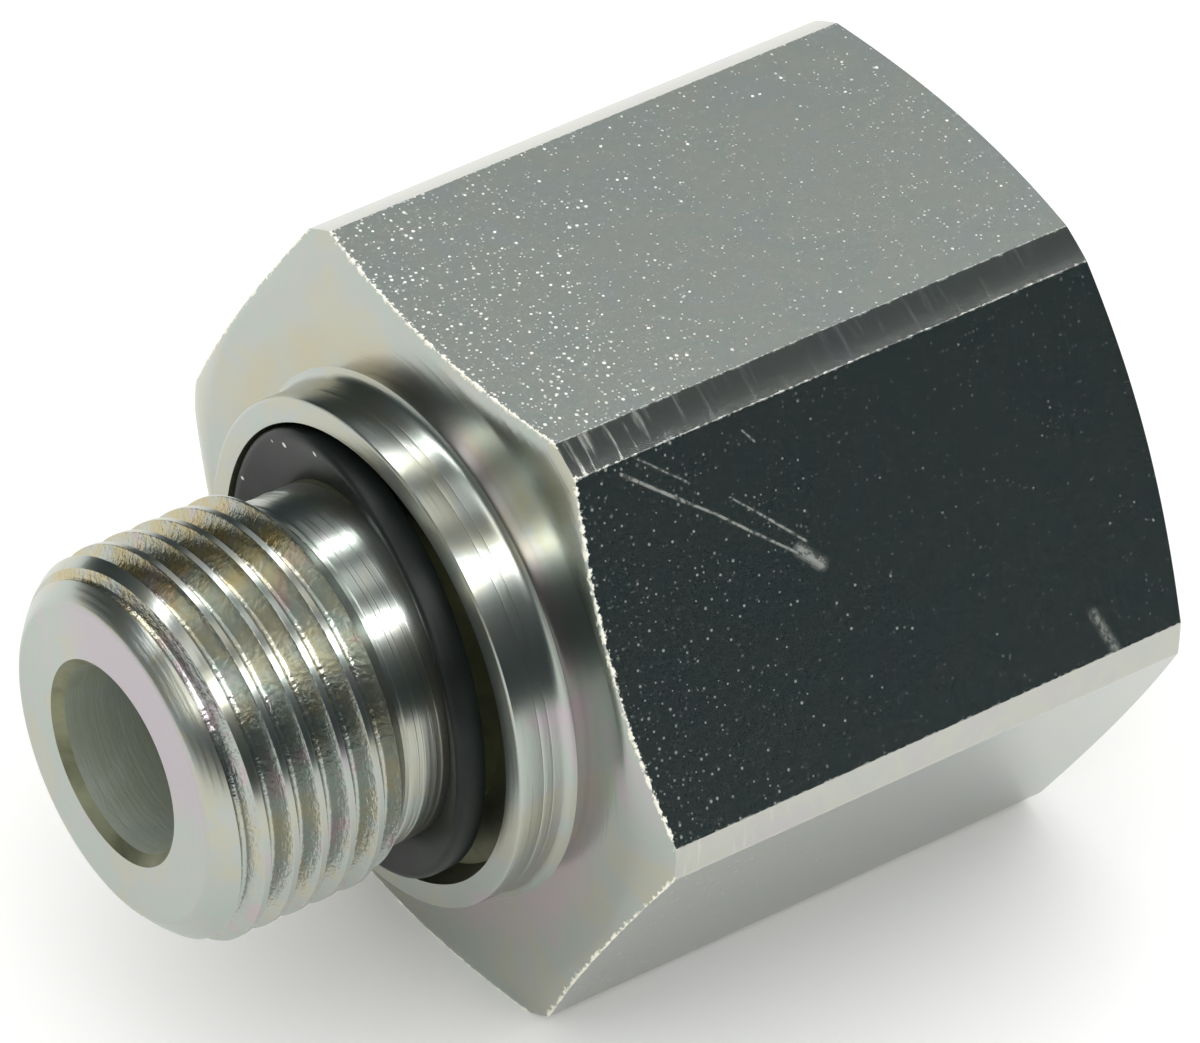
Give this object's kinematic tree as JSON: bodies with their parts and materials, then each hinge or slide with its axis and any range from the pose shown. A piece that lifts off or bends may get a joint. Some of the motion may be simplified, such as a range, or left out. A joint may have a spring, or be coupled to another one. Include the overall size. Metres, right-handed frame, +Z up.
{
  "type": "thread reducer",
  "caption": "Hydraulic thread reducer turned from hexagon bar, with a threaded male stud, a captive face seal and a larger threaded female end.",
  "frame": {"origin": "on the thread axis, in the plane of the collar's sealing lip", "axes": "+X along the thread axis towards the female end, the male stud towards -X, +Z up out of the upper hexagon flat, -Z out of the flat that the fitting lies on"},
  "size_m": [0.0409, 0.0338, 0.03],
  "materials": {
    "plated_steel": "bright zinc plating over turned and drawn steel, with a faint yellow and green tint",
    "black_rubber": "smooth black moulded elastomer"
  },
  "bodies": {
    "root": {"reducer_body": "plated_steel", "seal_ring": "black_rubber"}
  },
  "joints": []
}
